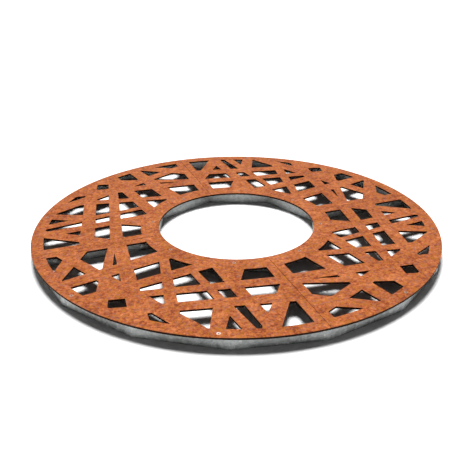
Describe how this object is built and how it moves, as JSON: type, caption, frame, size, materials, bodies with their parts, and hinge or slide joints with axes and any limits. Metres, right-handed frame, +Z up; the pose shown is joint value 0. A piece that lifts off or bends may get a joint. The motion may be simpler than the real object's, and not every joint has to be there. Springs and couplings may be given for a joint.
{
  "type": "tree grate",
  "caption": "Round segmented tree grate: rust-coloured steel panels cut through with crossing bars, screwed to a frame of galvanised flat bars round a trunk opening.",
  "frame": {"origin": "on the ground, in the centre of the trunk opening", "axes": "+Z up; the four seams lie along +X, +Y, -X and -Y; -Y is the front"},
  "size_m": [1.8, 1.8, 0.053],
  "materials": {
    "weathered_steel": "matt rust skin, finely mottled",
    "galvanised_steel": "hot-dip galvanised, dull spangle",
    "stainless_steel": "plain turned stainless"
  },
  "bodies": {
    "root": {"panel_front_left": "weathered_steel", "panel_front_right": "weathered_steel", "panel_back_right": "weathered_steel", "panel_back_left": "weathered_steel", "rim_bar_front_left": "galvanised_steel", "rim_bar_front_right": "galvanised_steel", "rim_bar_back_right": "galvanised_steel", "rim_bar_back_left": "galvanised_steel", "trunk_bar_front_left": "galvanised_steel", "trunk_bar_front_right": "galvanised_steel", "trunk_bar_back_right": "galvanised_steel", "trunk_bar_back_left": "galvanised_steel", "front_seam_bar_left": "galvanised_steel", "front_seam_bar_right": "galvanised_steel", "right_seam_bar_front": "galvanised_steel", "right_seam_bar_back": "galvanised_steel", "back_seam_bar_right": "galvanised_steel", "back_seam_bar_left": "galvanised_steel", "left_seam_bar_back": "galvanised_steel", "left_seam_bar_front": "galvanised_steel", "screw_lugs_front_left": "galvanised_steel", "screw_lugs_front_right": "galvanised_steel", "screw_lugs_back_right": "galvanised_steel", "screw_lugs_back_left": "galvanised_steel", "screws_front_left": "stainless_steel", "screws_front_right": "stainless_steel", "screws_back_right": "stainless_steel", "screws_back_left": "stainless_steel", "front_seam_bolts": "stainless_steel", "right_seam_bolts": "stainless_steel", "back_seam_bolts": "stainless_steel", "left_seam_bolts": "stainless_steel", "front_seam_washers": "stainless_steel", "right_seam_washers": "stainless_steel", "back_seam_washers": "stainless_steel", "left_seam_washers": "stainless_steel", "front_seam_nuts": "stainless_steel", "right_seam_nuts": "stainless_steel", "back_seam_nuts": "stainless_steel", "left_seam_nuts": "stainless_steel"}
  },
  "joints": []
}
